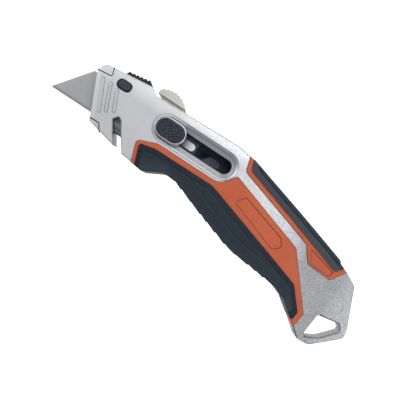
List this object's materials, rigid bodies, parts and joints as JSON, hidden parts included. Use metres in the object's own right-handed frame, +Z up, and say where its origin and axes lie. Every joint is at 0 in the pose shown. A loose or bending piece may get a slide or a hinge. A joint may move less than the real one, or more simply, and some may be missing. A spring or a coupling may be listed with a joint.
{
  "type": "utility knife",
  "caption": "Retractable utility knife with a curved two-tone handle, side slide, top thumb slide, blade release button, string-cutting slot and lanyard hole.",
  "frame": {"origin": "centre of the bounding box on the surface that the knife lies on, right side down", "axes": "+X from the blade's tip to the butt, +Y from the cutting edge to the spine, +Z up out of the left side"},
  "size_m": [0.1963, 0.0708, 0.0235],
  "materials": {
    "cast_metal": "satin die-cast metal with a fine metallic sparkle",
    "orange_trim": "matt burnt-orange moulding, lightly grained",
    "grip_rubber": "soft matt blue-black rubber",
    "blade_steel": "ground tool steel with a finer ground edge",
    "carrier_metal": "dull cast metal",
    "spring_steel": "bright spring steel",
    "slider_metal": "bright satin metal rim",
    "slide_metal": "warm grey satin metal",
    "pad_black": "matt black with a raised pattern",
    "button_black": "smooth dark grey",
    "magazine_plastic": "dark plain plastic",
    "screw_steel": "dark plated steel"
  },
  "bodies": {
    "handle": {"left_shell": "cast_metal", "right_shell": "cast_metal", "shell_screws": "screw_steel", "left_belly_trim": "orange_trim", "right_belly_trim": "orange_trim", "left_back_trim": "orange_trim", "right_back_trim": "orange_trim", "left_belly_grip": "grip_rubber", "right_belly_grip": "grip_rubber", "left_back_grip": "grip_rubber", "right_back_grip": "grip_rubber", "thumb_rest": "grip_rubber", "string_cutter": "blade_steel", "release_spring": "spring_steel", "blade_magazine": "magazine_plastic", "spare_blades": "blade_steel", "magazine_spring": "spring_steel"},
    "carrier": {"blade_carrier": "carrier_metal", "blade": "blade_steel", "blade_clamp": "spring_steel", "clamp_rivets": "spring_steel", "blade_lock_leaf": "spring_steel", "slider_frame": "slider_metal", "detent_tongue": "spring_steel", "top_thumb_slide": "slide_metal", "slider_pad_spring": "spring_steel"},
    "slider_pad": {"slider_pad": "pad_black"},
    "release_button": {"blade_release_button": "button_black"}
  },
  "joints": [
    {"name": "carrier_slide", "type": "slide", "parent": "handle", "child": "carrier", "axis": [1, 0, 0], "range_m": [0, 0.029]},
    {"name": "slider_press", "type": "slide", "parent": "carrier", "child": "slider_pad", "axis": [0, 0, -1], "range_m": [0, 0.0008], "stiffness_N_per_m": 900, "springref_m": -0.001, "deforming": ["slider_pad_spring"]},
    {"name": "release_press", "type": "slide", "parent": "handle", "child": "release_button", "axis": [0, 0, -1], "range_m": [0, 0.0012], "stiffness_N_per_m": 900, "springref_m": -0.001, "deforming": ["release_spring"]}
  ]
}
